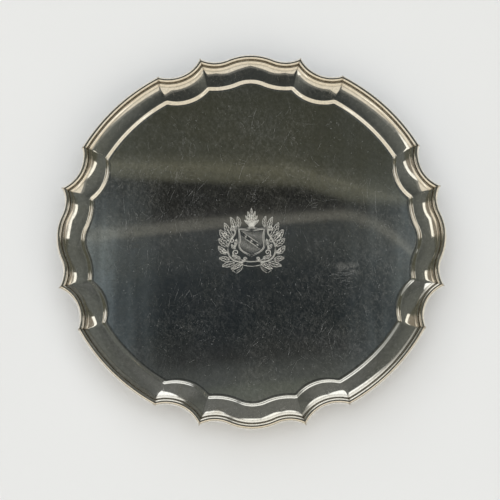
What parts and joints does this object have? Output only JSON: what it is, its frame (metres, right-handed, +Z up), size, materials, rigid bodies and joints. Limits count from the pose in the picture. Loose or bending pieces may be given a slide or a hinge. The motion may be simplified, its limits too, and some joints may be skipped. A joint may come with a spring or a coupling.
{
  "type": "silver salver",
  "caption": "Round footed silver salver: flat engraved well, small step, hollow shelf and a mitred moulded border of lobes, hollow scrolls and long bows.",
  "frame": {"origin": "on the table surface, below the middle of the plate", "axes": "+Z up from the soles of the feet to the rim; the lobes are centred on +X, +Y, -X and -Y, and the feet are on the diagonals"},
  "size_m": [0.305, 0.305, 0.0315],
  "materials": {
    "silver_sheet": "old polished sterling silver, fine random scratches, engraved in the middle",
    "silver_border": "polished cast sterling silver, worn bright on the crests, brown tarnish in the grooves",
    "silver_foot": "cast and chased sterling silver, slightly dull in the hollows"
  },
  "bodies": {
    "root": {"plate": "silver_sheet", "border_lobe_e": "silver_border", "border_lobe_n": "silver_border", "border_lobe_w": "silver_border", "border_lobe_s": "silver_border", "border_scroll_ene": "silver_border", "border_scroll_nne": "silver_border", "border_scroll_nnw": "silver_border", "border_scroll_wnw": "silver_border", "border_scroll_wsw": "silver_border", "border_scroll_ssw": "silver_border", "border_scroll_sse": "silver_border", "border_scroll_ese": "silver_border", "border_bow_ne": "silver_border", "border_bow_nw": "silver_border", "border_bow_sw": "silver_border", "border_bow_se": "silver_border", "foot_ne": "silver_foot", "foot_nw": "silver_foot", "foot_sw": "silver_foot", "foot_se": "silver_foot"}
  },
  "joints": []
}
